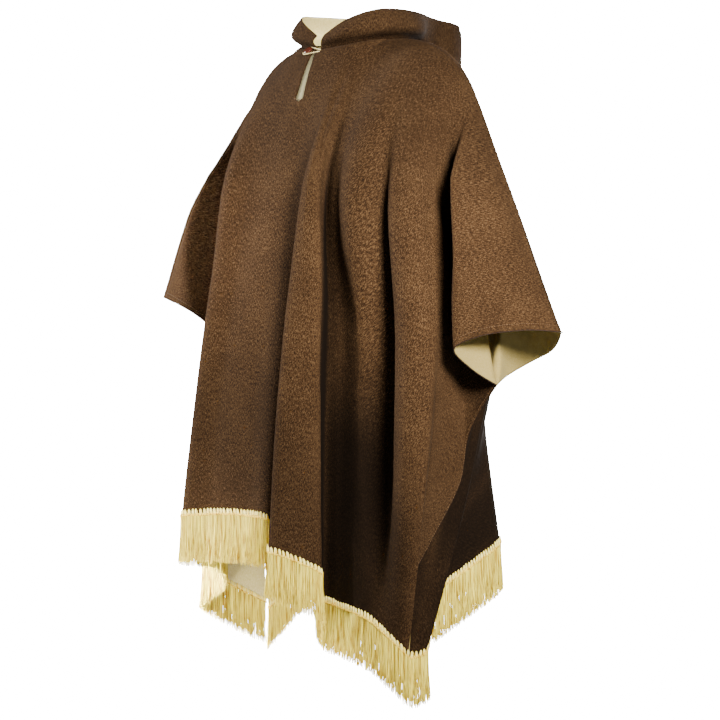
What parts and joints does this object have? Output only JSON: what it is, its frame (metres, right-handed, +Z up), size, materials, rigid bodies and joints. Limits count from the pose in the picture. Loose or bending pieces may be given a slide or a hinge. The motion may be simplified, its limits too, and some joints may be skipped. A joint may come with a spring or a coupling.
{
  "type": "hooded poncho",
  "caption": "Hooded wool poncho worn open over a hollow general figure, with wide sleeves sewn at the sides, side slits, a buttoned neck slit and a fringed hem.",
  "frame": {"origin": "middle of the neck hole, on the level of the shoulder fold, where the wearer's shoulders hold the garment", "axes": "+Z up, the wearer faces -Y, and the wearer's left is +X"},
  "size_m": [0.9052, 0.5263, 1.0993],
  "materials": {
    "front_cloth": "brushed double-faced wool, brown outside and cream inside",
    "back_cloth": "brushed double-faced wool, brown outside and cream inside",
    "hood_cloth": "brushed double-faced wool, brown outside and cream inside",
    "fringe_yarn": "soft cream wool yarn",
    "button": "polished reddish-brown horn",
    "loop_cord": "satin cord"
  },
  "bodies": {
    "root": {"front_panel": "front_cloth", "back_panel": "back_cloth", "hood_left": "hood_cloth", "hood_right": "hood_cloth", "front_fringe": "fringe_yarn", "back_fringe": "fringe_yarn", "button": "button", "button_loop": "loop_cord"}
  },
  "joints": []
}
